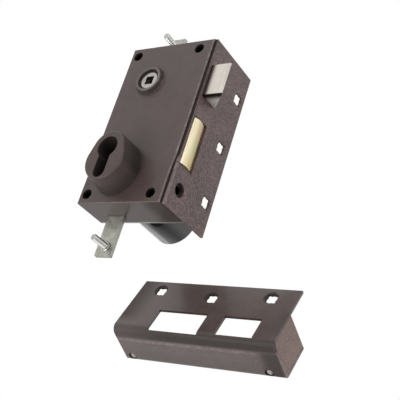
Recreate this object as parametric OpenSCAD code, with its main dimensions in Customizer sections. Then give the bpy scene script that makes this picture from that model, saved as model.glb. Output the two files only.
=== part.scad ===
// Surface-mounted three-point lock with its separate keeper.
// Every piece is drawn in lock coordinates: x = 0 at the outer face of the forend (case on -x),
// y = 0 at the front of the cover (door on +y), z = 0 at the bottom of the case.
// on_door() then moves it so that the origin is the centre of the four corner holes, on the door.

/* [Case] */
// Width of the case, without the forend
case_w = 76; // [74:0.5:90]
// Height of the case
case_h = 138; // [136:0.5:150]
// Thickness of the case, from the cover to the door
case_t = 30; // [29.5:0.5:34]
// Thickness of the cover and back plate
sheet_t = 1.5; // [1.2:0.1:1.8]
// Bevel round the front of the cover
edge_bevel = 0.9; // [0.4:0.1:1.2]

/* [Corner screws] */
// Hole centres to the left side of the case
corner_left = 6.5; // [6:0.5:8]
// Hole centres to the forend side of the case
corner_fore = 12; // [10:0.5:14]
// Hole centres to the top and bottom of the case
corner_end = 7.5; // [7:0.5:9]
// Hole in the cover for the screw head
cover_hole_d = 8; // [6:0.5:8.5]
// Hole through the sleeve and the back plate
screw_hole_d = 5.5; // [4.5:0.5:6]
// Outside of the spacer sleeve
sleeve_d = 9.4; // [9:0.2:10]

/* [Forend] */
// Thickness of the forend
forend_t = 2; // [1.5:0.1:2.5]
// Reach of the forend, from the front of the cover to its back edge
forend_reach = 52.5; // [46:0.5:60]
// Front edge of the forend behind the cover
forend_setback = 1.3; // [0.5:0.1:2]
// Depth of the three frame screw holes
frame_hole_y = 44.3; // [40:0.1:46]
// Distance from the middle frame screw to the outer ones
frame_hole_pitch = 44.8; // [40:0.1:50]
// How much nearer to the front the middle one lies
frame_hole_mid_in = 2.3; // [0:0.1:3]
// Round part of each frame screw hole
frame_hole_d = 8.6; // [7:0.2:9]
// Depth of the hole for the screw that holds the cylinder
cyl_screw_y = 12.4; // [9:0.1:14]
// Height of that hole
cyl_screw_z = 16; // [14:0.1:18]
// Diameter of that hole in the forend
cyl_screw_d = 10.4; // [8:0.1:10.8]

/* [Cylinder opening] */
// Cylinder axis to the left side of the case
cyl_left = 30; // [29:0.5:32]
// Height of the cylinder axis
cyl_z = 34; // [33:0.5:35]
// Round part of the profile opening
profile_d = 17.2; // [17:0.1:17.6]
// Straight part of the profile opening
profile_w = 10.2; // [10:0.1:10.6]
// Full height of the profile opening
profile_h = 33.4; // [33:0.1:34]

/* [Cylinder boss] */
// Projection of the boss in front of the cover
boss_h = 20; // [12:0.5:26]
// Radius round the barrel at the top of the boss
boss_top_r = 13.9; // [12:0.1:16]
// Radius of the lower part of the face
boss_low_r = 16.8; // [15:0.1:18]
// Radius of the lower part of the base
boss_base_r = 18.6; // [17:0.1:19]
// Centre of the lower part below the cylinder axis
boss_low_drop = 9.4; // [8:0.1:10]
// Rounding of the rim of the face
boss_round = 1.6; // [0.8:0.1:2.5]
// Screws that hold the boss
boss_screw_d = 3; // [2.5:0.5:4]

/* [Guard tube] */
// Outside of the tube behind the case
tube_d = 39; // [38:0.5:42]
// Wall of the tube
tube_wall = 2.1; // [1.5:0.1:2.2]
// Length of the tube behind the door face of the case
tube_len = 46.5; // [20:0.5:80]
// Centre of the tube below the cylinder axis
tube_drop = 8; // [7.6:0.1:8.4]
// Width of the flange inside the case
flange_w = 3; // [2:0.5:4]
// Thickness of the flange
flange_t = 1.5; // [1:0.1:2]

/* [Follower] */
// Spindle axis to the left side of the case
fol_left = 28; // [27:0.5:29]
// Height of the spindle axis
fol_z = 104.5; // [103.5:0.5:106]
// Square hole for the spindle
square_w = 7; // [6:0.5:8]
// Bearing in the front collar
journal_d = 14.4; // [14:0.1:15]
// Body of the follower
hub_d = 16.4; // [16:0.1:17]
// Bearing in the back plate
rear_d = 13; // [11:0.5:13.5]
// Base of the raised collar
collar_base_d = 25; // [24:0.5:30]
// Top of the raised collar
collar_top_d = 21; // [19:0.5:23]
// Height of the raised collar
collar_h = 3.6; // [2:0.1:5]
// Length of the follower's lever
lever_r = 22; // [20:0.5:23]
// Lean of the lever towards the forend, half of its turn
lever_lean = 20; // [16:1:22]

/* [Latch] */
// Lower face of the latch bolt
latch_z = 90; // [89.5:0.5:92]
// Height of the latch bolt
latch_h = 26.5; // [24:0.5:28]
// Depth of the latch bolt
latch_d = 17; // [15:0.5:17.5]
// Projection of the latch bolt
latch_out = 16; // [10:0.5:18]

/* [Deadbolt] */
// Lower face of the deadbolt
bolt_z = 34.3; // [33.5:0.1:36]
// Height of the deadbolt
bolt_h = 38; // [34:0.5:38]
// Depth of the deadbolt
bolt_d = 15; // [12:0.5:15.5]
// Full throw of the deadbolt
bolt_throw = 22; // [16:1:22]
// Crown of the rounded nose
nose_crown = 2.4; // [1:0.1:4]

/* [Rods] */
// Width of the rod straps
rod_w = 15; // [14:0.5:16]
// Thickness of the rod straps
rod_t = 2.5; // [2:0.1:3]
// Front of the straps behind the cover
rod_y = 19; // [18.5:0.1:19.5]
// Projection of the upper strap at rest
top_rod_out = 21.5; // [16:0.5:40]
// Projection of the lower strap at rest
bottom_rod_out = 32.5; // [20:0.5:60]
// Stud diameter
stud_d = 5; // [4:0.5:6]
// Stud length in front of the strap
stud_len = 15; // [8:0.5:24]
// Stud centre to the end of the strap
stud_end = 7.8; // [6:0.1:10]

/* [Drive] */
// Tooth module of the deadbolt rack
gear_m = 1; // [1:1:1]
// Teeth of the gear on the deadbolt rack
gear_n = 14; // [14:1:14]
// Tooth module of the rod racks
pinion_m = 0.9; // [0.9:0.1:0.9]
// Teeth of the pinion between the rods
pinion_n = 10; // [10:1:10]
// Pinion axis to the left side of the case
drive_left = 28; // [27.5:0.5:28]
// Height of the pinion axis
drive_z = 81.5; // [81.3:0.1:81.7]

/* [Keeper] */
// Length of the keeper
keeper_l = 136; // [134:0.5:150]
// Depth of the keeper's box
keeper_d = 33; // [28:0.5:40]
// Height of the keeper's box
keeper_h = 30; // [28:0.5:34]
// Height of its slotted plate with the flange
keeper_plate_h = 52.5; // [46:0.5:60]
// Sheet thickness of the keeper
keeper_t = 2; // [1.5:0.1:2.5]
// Outside radius of the fold below the windows
keeper_bend = 6; // [3:0.1:7]
// Outside radius of the fold behind it
keeper_back_bend = 3.4; // [2.8:0.1:4]
// Rivet centres to the closed side
keeper_rivet_in = 4.7; // [4.5:0.1:8]
// Lean of the keeper as it lies beside the lock
keeper_lean = 24; // [0:1:40]

/* [Fits] */
// Radial play of a turning fit
run_fit = 0.07; // [0.02:0.01:0.09]
// Play round a sliding piece
slide_fit = 0.35; // [0.25:0.05:0.5]
// Gap between pieces that only lie beside each other
rest_gap = 0.3; // [0.2:0.05:0.4]
// Play of each tooth flank
tooth_play = 0.12; // [0.08:0.01:0.2]

/* [Hidden] */
$fn = 64;
mesh_fn = 32;

// Case planes
fore_x = -forend_t;
left_x = -forend_t - case_w;
cyl_x = -left_x - cyl_left;
fol_x = -left_x - fol_left;
drive_x = -left_x - drive_left;
inner_y = sheet_t;
floor_y = case_t - sheet_t;
origin_x = (left_x + corner_left + fore_x - corner_fore) / 2;
corner_xs = [left_x + corner_left, fore_x - corner_fore];
corner_zs = [corner_end, case_h - corner_end];

// Depths of the layers of the mechanism
bolt_y = 4.2;
fork_y = 8;
plate_t = 3;
tail_y = 10;
spring_y = 4.6;
lever_t = 4;
lever_y = tail_y + 2;
catch_t = 2.5;
catch_y = tail_y + plate_t + 1;

// Drive
press_angle = 25;
addendum = 0.8;
dedendum = 1.05;
gear_r = gear_m * gear_n / 2;
pinion_r = pinion_m * pinion_n / 2;
rod_travel = bolt_throw * pinion_r / gear_r;
post_r = 2;
drive_neck_r = 3.4;

// Rods: a wide strap outside, a narrow strip where it passes the cylinder or the follower
rod_left = -fol_x - 12.8;
rod_right = rod_left + rod_w;
stud_x = rod_left + 8;
guide_r = 1.5;
guide_slot_w = 2 * (guide_r + slide_fit / 2);
top_web_z = fol_z + rear_d / 2 + 1;
top_web_h = 6;
top_guide_z = case_h - 7;
low_guide_z = drive_z - 17;
low_strip_w = 5.4;
low_wide_z = cyl_z - profile_h + profile_d / 2 - 2;
low_block_z = cyl_z + profile_d / 2 + rod_travel + 2;

// Latch
latch_y = bolt_y;
latch_rear_x = 28 - fol_x;
latch_head_x = -3;
latch_rear_d = 14;
fork_slot = hub_d / 2 + 0.6;
fork_arm = 4.6;
fork_end_x = -fol_x - hub_d / 2 + 0.2;
latch_rivet_r = 1.5;
lever_half = 1.8;
lever_tip_r = 3;
lug_x = -fol_x + lever_r * sin(lever_lean) - lever_tip_r - rest_gap;
lug_w = 3.2;
lug_z0 = fol_z + lever_r * cos(lever_lean) - lever_tip_r + 0.8;
lug_z1 = fol_z + lever_r + 2.6;
latch_coil_r = 2.4;
latch_wire = 0.8;
latch_coil_y = 15.5;
latch_coil_z = latch_z + latch_coil_r + 0.6;
anchor_x = -fol_x - 2.2;
anchor_t = 2;

// Deadbolt
bolt_rear_x = 20 - fol_x;
tail_root_x = 38 - fol_x;
tail_left_x = left_x + sheet_t + 1;
tail_top = drive_z - gear_r - dedendum * gear_m;
tail_low = cyl_z + 12;
bolt_rivet_r = 2;
guide_post_x = bolt_rear_x - 5;
guide_post_z = tail_low + 11;
catch_x = bolt_rear_x - 6;
catch_z = tail_low + 20;
catch_pin_r = 1.7;
catch_slot_h = 4;
catch_drop = 3;
throw_step = bolt_throw / 2;
catch_pivot = [left_x + 9, drive_z - 1.5];
catch_w = 5.2;

// Cover pillars stand clear of everything that moves
pillar_r = 3.2;
pillar_at = [[fore_x - 7, drive_z - 0.5], [left_x + 6, fol_z], [fore_x - 14, cyl_z - 10]];
back_screw_r = 2;
back_head_r = 3.8;
boss_screw_at = [[-cyl_x - 14, cyl_z - 14], [-cyl_x + 13.5, cyl_z - 14]];

// Star-shaped holes for the frame screws
star_r = 1.1;
star_at = frame_hole_d / 2 + 0.2;
dish_r = star_at + star_r + 0.25;
dish_t = 0.3;

// Keeper
keeper_at = [-68.1, 66.8, -67.4];
keeper_turn = [0.5, 0.6];  // how it lies in the photograph, besides its lean
keeper_shift = (case_h - keeper_l) / 2;
window_side = 2.4;
latch_window_sides = [1, 2.7];
bolt_window_top = 22.6;
latch_window_top = 22;
bolt_window_low = 2.6;
fore_window_gap = 1.4;
latch_window_low = 4;
keeper_hole_z = keeper_plate_h - 10;
keeper_hole_dip = 4;
keeper_hole_pitch = 47.8;
cap_gap = 0.3;
cap_tab = 16;
rivet_recess_r = 3.3;
rivet_recess_t = 1.2;
keeper_rivet_r = 1.3;
keeper_rivet_x = [6.6, keeper_l - 12];

// Placing and drawing helpers
module on_door() translate([-origin_x, -case_t, -case_h / 2]) children();

module block(x0, x1, y0, y1, z0, z1) translate([x0, y0, z0]) cube([x1 - x0, y1 - y0, z1 - z0]);

module along_y(x, z, r, y0, y1) translate([x, y0, z]) rotate([-90, 0, 0]) cylinder(r = r, h = y1 - y0);

module cone_y(x, z, r0, r1, y0, y1)
    translate([x, y0, z]) rotate([-90, 0, 0]) cylinder(r1 = r0, r2 = r1, h = y1 - y0);

module along_x(y, z, r, x0, x1) translate([x0, y, z]) rotate([0, 90, 0]) cylinder(r = r, h = x1 - x0);

module outline_xz(y0, y1) translate([0, y1, 0]) rotate([90, 0, 0]) linear_extrude(height = y1 - y0) children();

module bar2d(p, q, w) {
    d = q - p;
    translate(p) circle(d = w);
    translate(q) circle(d = w);
    translate(p) rotate(atan2(d[1], d[0])) translate([0, -w / 2]) square([norm(d), w]);
}

module profile_hole(y0, y1) {
    along_y(-cyl_x, cyl_z, profile_d / 2, y0, y1);
    low = cyl_z + profile_d / 2 - profile_h;
    block(-cyl_x - profile_w / 2, -cyl_x + profile_w / 2, y0, y1, low + profile_w / 2, cyl_z);
    along_y(-cyl_x, low + profile_w / 2, profile_w / 2, y0, y1);
}

// Drilled through a plate whose outer face is at height 0 and which is t thick
module star_hole(t) {
    translate([0, 0, -t - 1]) cylinder(d = frame_hole_d, h = t + 2);
    for (a = [45:90:315]) rotate(a) translate([star_at, 0, -t - 1]) cylinder(r = star_r, h = t + 2);
    translate([0, 0, -dish_t]) cylinder(r1 = frame_hole_d / 2 + 1, r2 = dish_r, h = dish_t + 0.01);
}

// Involute gear outline, with a tooth centred on the angle given as phase
function roll(a) = tan(a) * 180 / PI - a;
function flank(n, m, rr) = 90 / n - tooth_play / (n * m / 2) * 180 / PI + roll(press_angle)
    - roll(acos(min(1, n * m / 2 * cos(press_angle) / rr)));
function gear_points(n, m, phase) = let(
    r = n * m / 2, base = r * cos(press_angle), root = r - dedendum * m, tip = r + addendum * m,
    start = max(base, root), steps = 5)
    [for (k = [0:n - 1]) let(c = phase + 360 * k / n) each concat(
        [for (side = [-1, 1]) if (side < 0) let(a = c - flank(n, m, start)) root * [cos(a), sin(a)]],
        [for (i = [0:steps]) let(rr = start + (tip - start) * i / steps, a = c - flank(n, m, rr))
            rr * [cos(a), sin(a)]],
        [for (i = [steps:-1:0]) let(rr = start + (tip - start) * i / steps, a = c + flank(n, m, rr))
            rr * [cos(a), sin(a)]],
        [let(a = c + flank(n, m, start)) root * [cos(a), sin(a)]])];

// Rack teeth that point up, with a gap at 0 and the pitch line at height 0
module rack_teeth(m, first, last) {
    pitch = PI * m;
    half = pitch / 4 - tooth_play;
    up = addendum * m;
    down = dedendum * m;
    for (i = [first:last]) translate([(i + 0.5) * pitch, 0])
        polygon([[-half - down * tan(press_angle), -down - 0.2], [half + down * tan(press_angle), -down - 0.2],
            [half + down * tan(press_angle), -down], [half - up * tan(press_angle), up],
            [-half + up * tan(press_angle), up], [-half - down * tan(press_angle), -down]]);
}

// A coil of round wire about the z axis, starting at height 0
module coil(r, wire, turns, height) {
    steps = 16;
    sides = 6;
    total = turns * steps;
    rise = height - wire;
    points = [for (i = [0:total], j = [0:sides - 1])
        let(a = 360 * i / steps, b = 360 * j / sides, rr = r + wire / 2 * cos(b))
        [rr * cos(a), rr * sin(a), wire / 2 + rise * i / total + wire / 2 * sin(b)]];
    sheath = [for (i = [0:total - 1], j = [0:sides - 1])
        let(a = i * sides + j, b = i * sides + (j + 1) % sides) each
        [[a, b, a + sides], [b, b + sides, a + sides]]];
    first = [for (j = [1:sides - 2]) [0, j + 1, j]];
    last = [for (j = [1:sides - 2]) [total * sides, total * sides + j, total * sides + j + 1]];
    polyhedron(points = points, faces = concat(sheath, first, last));
}

// Case
module bevel_corner() polygon([[-1, -1], [edge_bevel + 1, -1], [-1, edge_bevel + 1]]);

module bevel_edges() {
    translate([left_x - 1, 0, 0]) rotate([90, 0, 90]) linear_extrude(height = case_w + 2) bevel_corner();
    translate([left_x - 1, 0, case_h]) rotate([90, 0, 90]) linear_extrude(height = case_w + 2)
        mirror([0, 1]) bevel_corner();
    translate([left_x, 0, -1]) linear_extrude(height = case_h + 2) bevel_corner();
}

module case_cover() color([0.33, 0.27, 0.26]) on_door() difference() {
    block(left_x, fore_x, 0, floor_y, 0, case_h);
    block(left_x + sheet_t, fore_x + 1, inner_y, floor_y + 1, sheet_t, case_h - sheet_t);
    bevel_edges();
    for (x = corner_xs, z = corner_zs) along_y(x, z, cover_hole_d / 2, -1, inner_y + 1);
    along_y(-fol_x, fol_z, journal_d / 2 + 1.8, -1, inner_y + 1);
    profile_hole(-1, inner_y + 1);
    for (p = boss_screw_at) along_y(p[0], p[1], boss_screw_d / 2 + 0.1, -1, inner_y + 1);
    for (z = [-1, case_h - sheet_t - 1]) block(rod_left - slide_fit, rod_right + slide_fit,
        rod_y - slide_fit, rod_y + rod_t + slide_fit, z, z + sheet_t + 2);
}

module back_plate() color([0.62, 0.62, 0.6]) on_door() difference() {
    union() {
        block(left_x, fore_x, floor_y, case_t, 0, case_h);
        block(fore_x - sheet_t, fore_x, inner_y, floor_y, sheet_t, case_h - sheet_t);
    }
    for (x = corner_xs, z = corner_zs) along_y(x, z, screw_hole_d / 2, floor_y - 1, case_t + 1);
    along_y(-fol_x, fol_z, rear_d / 2 + run_fit, floor_y - 1, case_t + 1);
    along_y(-cyl_x, cyl_z - tube_drop, tube_d / 2 + 0.1, floor_y - 1, case_t + 1);
    for (p = pillar_at) cone_y(p[0], p[1], back_screw_r + 0.1, back_head_r + 0.1, floor_y, case_t);
    for (a = [60:120:300]) along_y(-cyl_x + (tube_d / 2 + flange_w / 2) * cos(a),
        cyl_z - tube_drop + (tube_d / 2 + flange_w / 2) * sin(a), 1.05, floor_y - 1, case_t + 1);
    bolt_windows(fore_x - sheet_t - 1, fore_x + 1);
    along_x(cyl_screw_y, cyl_screw_z, 3, fore_x - sheet_t - 1, fore_x + 1);
}

module bolt_windows(x0, x1) {
    block(x0, x1, bolt_y - slide_fit, bolt_y + bolt_d + slide_fit, bolt_z - slide_fit, bolt_z + bolt_h + slide_fit);
    block(x0, x1, latch_y - slide_fit, latch_y + latch_d + slide_fit,
        latch_z - slide_fit, latch_z + latch_h + slide_fit);
}

module forend_plate() color([0.36, 0.3, 0.29]) on_door() difference() {
    block(fore_x, 0, forend_setback, forend_reach, 0, case_h);
    bolt_windows(fore_x - 1, 1);
    block(fore_x - 1, 1, bolt_y - slide_fit, bolt_y + bolt_d + slide_fit, bolt_z - fore_window_gap, bolt_z);
    along_x(cyl_screw_y, cyl_screw_z, cyl_screw_d / 2, fore_x - 1, 1);
    for (i = [-1:1]) translate([0, frame_hole_y - (i == 0 ? frame_hole_mid_in : 0), case_h / 2 + i * frame_hole_pitch])
        rotate([0, 90, 0]) star_hole(forend_t);
}

module mounting_sleeves() color([0.7, 0.7, 0.68]) on_door()
    for (x = corner_xs, z = corner_zs) difference() {
        along_y(x, z, sleeve_d / 2, inner_y, floor_y);
        along_y(x, z, screw_hole_d / 2, inner_y - 1, floor_y + 1);
    }

module cover_pillars() color([0.66, 0.66, 0.64]) on_door() for (p = pillar_at) difference() {
    along_y(p[0], p[1], pillar_r, inner_y, floor_y);
    along_y(p[0], p[1], back_screw_r + 0.05, floor_y - 10.2, floor_y + 1);
}

module back_screws() color([0.75, 0.74, 0.7]) on_door() for (p = pillar_at) difference() {
    union() {
        along_y(p[0], p[1], back_screw_r, floor_y - 10, floor_y);
        cone_y(p[0], p[1], back_screw_r, back_head_r, floor_y, case_t);
    }
    block(p[0] - back_head_r, p[0] + back_head_r, case_t - 0.8, case_t + 1, p[1] - 0.4, p[1] + 0.4);
}

// Cylinder boss and guard tube
module boss_slice(y0, y1, top_r, low_r, lean) {
    along_y(-cyl_x, cyl_z, top_r, y0, y1, $fn = mesh_fn * 2);
    along_y(-cyl_x + lean, cyl_z - boss_low_drop, low_r, y0, y1, $fn = mesh_fn * 2);
}

module cylinder_boss() color([0.3, 0.25, 0.24]) on_door() difference() {
    hull() {
        boss_slice(-0.8, 0, boss_top_r, boss_base_r, -1.2);
        boss_slice(-boss_h + boss_round, -boss_h + boss_round + 0.2, boss_top_r, boss_low_r, 0.3);
        boss_slice(-boss_h + boss_round * 0.3, -boss_h + boss_round, boss_top_r - boss_round * 0.3,
            boss_low_r - boss_round * 0.3, 0.3);
        boss_slice(-boss_h, -boss_h + 0.2, boss_top_r - boss_round, boss_low_r - boss_round, 0.3);
    }
    profile_hole(-boss_h - 1, 1);
    for (p = boss_screw_at) along_y(p[0], p[1], boss_screw_d / 2 + 0.05, -8.3, 1);
}

module boss_screws() color([0.75, 0.74, 0.7]) on_door() for (p = boss_screw_at) difference() {
    union() {
        along_y(p[0], p[1], boss_screw_d / 2, -8, inner_y);
        along_y(p[0], p[1], boss_screw_d, inner_y, inner_y + 1.8);
    }
    block(p[0] - boss_screw_d, p[0] + boss_screw_d, inner_y + 1, inner_y + 3, p[1] - 0.4, p[1] + 0.4);
}

module guard_tube() color([0.72, 0.73, 0.75]) on_door() difference() {
    union() {
        along_y(-cyl_x, cyl_z - tube_drop, tube_d / 2, floor_y - flange_t, case_t + tube_len);
        along_y(-cyl_x, cyl_z - tube_drop, tube_d / 2 + flange_w, floor_y - flange_t, floor_y);
    }
    along_y(-cyl_x, cyl_z - tube_drop, tube_d / 2 - tube_wall, floor_y - flange_t - 1, case_t + tube_len + 1);
    for (a = [60:120:300]) along_y(-cyl_x + (tube_d / 2 + flange_w / 2) * cos(a),
        cyl_z - tube_drop + (tube_d / 2 + flange_w / 2) * sin(a), 1.05, floor_y - flange_t - 1, case_t + 1);
}

module tube_rivets() color([0.7, 0.7, 0.68]) on_door() for (a = [60:120:300]) {
    x = -cyl_x + (tube_d / 2 + flange_w / 2) * cos(a);
    z = cyl_z - tube_drop + (tube_d / 2 + flange_w / 2) * sin(a);
    along_y(x, z, 1, floor_y - flange_t, case_t);
    along_y(x, z, 1.4, floor_y - flange_t - 0.8, floor_y - flange_t);
}

// Follower
module follower_collar() color([0.31, 0.26, 0.25]) on_door() difference() {
    union() {
        cone_y(-fol_x, fol_z, collar_top_d / 2, collar_base_d / 2, -collar_h, 0);
        along_y(-fol_x, fol_z, journal_d / 2 + 1.7, 0, inner_y);
        along_y(-fol_x, fol_z, journal_d / 2 + 2.8, inner_y, inner_y + 0.8);
    }
    along_y(-fol_x, fol_z, journal_d / 2 + run_fit, -collar_h - 1, inner_y + 2);
    cone_y(-fol_x, fol_z, journal_d / 2 + 1.9, journal_d / 2, -collar_h - 0.01, -collar_h + 1.5);
}

module follower_hub() color([0.72, 0.71, 0.68]) on_door() difference() {
    union() {
        along_y(-fol_x, fol_z, journal_d / 2, -collar_h + 1.9, bolt_y);
        along_y(-fol_x, fol_z, hub_d / 2, bolt_y - 0.2, rod_y - 0.5);
        along_y(-fol_x, fol_z, rear_d / 2, rod_y - 0.6, case_t - 0.3);
        outline_xz(lever_y, lever_y + lever_t) {
            bar2d([-fol_x, fol_z], [-fol_x, fol_z] + (lever_r - 1) * [sin(lever_lean), cos(lever_lean)],
                2 * lever_half);
            translate([-fol_x, fol_z] + lever_r * [sin(lever_lean), cos(lever_lean)]) circle(lever_tip_r);
        }
    }
    block(-fol_x - square_w / 2, -fol_x + square_w / 2, -collar_h - 1, case_t + 1,
        fol_z - square_w / 2, fol_z + square_w / 2);
}

module follower_spring() color([0.5, 0.5, 0.5]) on_door()
    translate([-fol_x, spring_y, fol_z]) rotate([-90, 0, 0]) coil(hub_d / 2 + 1.2, 0.9, 2, 3.2);

// Latch
module latch_bolt() color([0.78, 0.77, 0.74]) on_door() difference() {
    translate([0, 0, latch_z]) linear_extrude(height = latch_h) polygon([
        [latch_rear_x, latch_y], [latch_out, latch_y], [latch_out, latch_y + 0.9], [0.6, latch_y + latch_d],
        [latch_head_x, latch_y + latch_d], [latch_head_x, latch_y + latch_rear_d],
        [latch_rear_x, latch_y + latch_rear_d]]);
    block(latch_rear_x - 1, tail_root_x, fork_y, fork_y + plate_t, latch_z - 1, latch_z + latch_h + 1);
    for (z = [latch_z + 8, latch_z + 19])
        along_y((latch_rear_x + tail_root_x) / 2, z, latch_rivet_r, latch_y - 1, latch_y + latch_rear_d + 1);
}

module latch_tail() color([0.66, 0.65, 0.62]) on_door() difference() {
    union() {
        outline_xz(fork_y, fork_y + plate_t) {
            low = fol_z - fork_slot - fork_arm;
            top = fol_z + fork_slot + fork_arm;
            difference() {
                translate([fork_end_x, low]) square([tail_root_x - fork_end_x, top - low]);
                translate([fork_end_x - 1, fol_z - fork_slot]) square([latch_rear_x - 4 - fork_end_x + 1, 2 * fork_slot]);
            }
            translate([lug_x - lug_w - 1, top - 0.1]) square([lug_w + 1, lug_z1 - top + 0.1]);
        }
        block(lug_x - lug_w, lug_x, fork_y + plate_t - 0.1, lever_y + lever_t, lug_z0, lug_z1);
    }
    for (z = [latch_z + 8, latch_z + 19])
        along_y((latch_rear_x + tail_root_x) / 2, z, latch_rivet_r, fork_y - 1, fork_y + plate_t + 1);
}

module latch_tail_rivets() color([0.75, 0.74, 0.7]) on_door() for (z = [latch_z + 8, latch_z + 19])
    along_y((latch_rear_x + tail_root_x) / 2, z, latch_rivet_r, latch_y, latch_y + latch_rear_d);

module latch_spring() color([0.5, 0.5, 0.5]) on_door()
    translate([anchor_x + anchor_t + 0.1, latch_coil_y, latch_coil_z]) rotate([0, 90, 0])
    coil(latch_coil_r - latch_wire / 2, latch_wire, 11, latch_rear_x - anchor_x - anchor_t - 0.2);

module latch_spring_anchor() color([0.66, 0.65, 0.62]) on_door()
    block(anchor_x, anchor_x + anchor_t, latch_coil_y - latch_coil_r - 0.4, floor_y,
        latch_coil_z - latch_coil_r - 0.2, latch_coil_z + latch_coil_r);

// Deadbolt
module deadbolt() color([0.8, 0.68, 0.36]) on_door() difference() {
    nose_r = (bolt_d * bolt_d / 4 + nose_crown * nose_crown) / (2 * nose_crown);
    union() {
        block(bolt_rear_x, -nose_crown, bolt_y, bolt_y + bolt_d, bolt_z, bolt_z + bolt_h);
        intersection() {
            block(-nose_crown - 0.5, 0.5, bolt_y, bolt_y + bolt_d, bolt_z, bolt_z + bolt_h);
            translate([-nose_r, bolt_y + bolt_d / 2, bolt_z]) cylinder(r = nose_r, h = bolt_h);
        }
    }
    block(bolt_rear_x - 1, tail_root_x, tail_y, tail_y + plate_t, bolt_z - 1, bolt_z + bolt_h + 1);
    for (z = [bolt_z + 16, bolt_z + 32])
        along_y((bolt_rear_x + tail_root_x) / 2, z, bolt_rivet_r, bolt_y - 1, bolt_y + bolt_d + 1);
}

module deadbolt_tail() color([0.68, 0.67, 0.64]) on_door() difference() {
    union() {
        block(tail_left_x, bolt_rear_x, tail_y, tail_y + plate_t, tail_low, tail_top);
        block(bolt_rear_x, tail_root_x, tail_y, tail_y + plate_t, tail_low, bolt_z + bolt_h);
        outline_xz(tail_y, tail_y + plate_t) translate([-drive_x, drive_z - gear_r])
            rack_teeth(gear_m, -floor(bolt_throw / (PI * gear_m)) - 1, 1);
    }
    outline_xz(tail_y - 1, tail_y + plate_t + 1) {
        slot_r = post_r + slide_fit / 2;
        bar2d([guide_post_x - bolt_throw, guide_post_z], [guide_post_x, guide_post_z], 2 * slot_r);
        translate([catch_x - bolt_throw - 2.6, catch_z - catch_slot_h / 2])
            square([bolt_throw + 2 * 2.6, catch_slot_h]);
        for (i = [0:2]) translate([catch_x - i * throw_step - 3.2, catch_z - catch_slot_h / 2 - catch_drop])
            square([5.7, catch_drop + 1]);
        for (i = [0:1]) translate([-cyl_x - i * throw_step - 4, tail_low - 1]) square([8, 6]);
    }
    for (z = [bolt_z + 16, bolt_z + 32])
        along_y((bolt_rear_x + tail_root_x) / 2, z, bolt_rivet_r, tail_y - 1, tail_y + plate_t + 1);
}

module deadbolt_rivets() color([0.75, 0.74, 0.7]) on_door() for (z = [bolt_z + 16, bolt_z + 32])
    along_y((bolt_rear_x + tail_root_x) / 2, z, bolt_rivet_r, bolt_y, bolt_y + bolt_d);

module bolt_guide_post() color([0.7, 0.7, 0.68]) on_door() {
    along_y(guide_post_x, guide_post_z, post_r, tail_y - 0.4, floor_y);
    along_y(guide_post_x, guide_post_z, post_r + 1.6, tail_y - 1.6, tail_y - rest_gap);
    along_y(guide_post_x, guide_post_z, post_r + 1.2, tail_y + plate_t + rest_gap, floor_y);
}

// Drive
module drive_pinion() color([0.72, 0.7, 0.62]) on_door() difference() {
    union() {
        outline_xz(tail_y, tail_y + plate_t) translate([-drive_x, drive_z])
            polygon(gear_points(gear_n, gear_m, 270));
        along_y(-drive_x, drive_z, drive_neck_r, tail_y, rod_y + rod_t);
        outline_xz(rod_y, rod_y + rod_t) translate([-drive_x, drive_z])
            polygon(gear_points(pinion_n, pinion_m, 0));
    }
    along_y(-drive_x, drive_z, post_r + run_fit, tail_y - 1, rod_y + rod_t + 1);
}

module pinion_post() color([0.7, 0.7, 0.68]) on_door() {
    along_y(-drive_x, drive_z, post_r, tail_y - 0.5, floor_y);
    along_y(-drive_x, drive_z, post_r + 1.4, tail_y - 1.7, tail_y - rest_gap);
    along_y(-drive_x, drive_z, post_r + 1.4, rod_y + rod_t + rest_gap, floor_y);
}

// Rods
module top_rod() color([0.74, 0.74, 0.7]) on_door() difference() {
    root = -drive_x + pinion_r + dedendum * pinion_m;
    right = -fol_x + rear_d / 2 + 7.5;
    union() {
        outline_xz(rod_y, rod_y + rod_t) {
            translate([root, drive_z - rod_travel - 3]) square([right - root, rod_travel + 5.5]);
            translate([-drive_x + pinion_r, drive_z]) rotate(90)
                rack_teeth(pinion_m, -floor(rod_travel / (PI * pinion_m)) - 1, 0);
            translate([-fol_x + rear_d / 2 + 0.7, drive_z]) square([right + fol_x - rear_d / 2 - 0.7, top_web_z + 1 - drive_z]);
            translate([rod_left, top_web_z]) square([right - rod_left, top_web_h]);
            translate([rod_left, top_web_z]) square([rod_w, case_h + top_rod_out - top_web_z - 1]);
            translate([rod_left + 1, top_web_z]) square([rod_w - 2, case_h + top_rod_out - top_web_z]);
            for (x = [rod_left + 1, rod_right - 1]) translate([x, case_h + top_rod_out - 1]) circle(1);
        }
    }
    outline_xz(rod_y - 1, rod_y + rod_t + 1)
        bar2d([(rod_left + rod_right) / 2, top_guide_z - rod_travel], [(rod_left + rod_right) / 2, top_guide_z],
            guide_slot_w);
    along_y(stud_x, case_h + top_rod_out - stud_end, stud_d / 2, rod_y - 1, rod_y + rod_t + 1);
}

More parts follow.
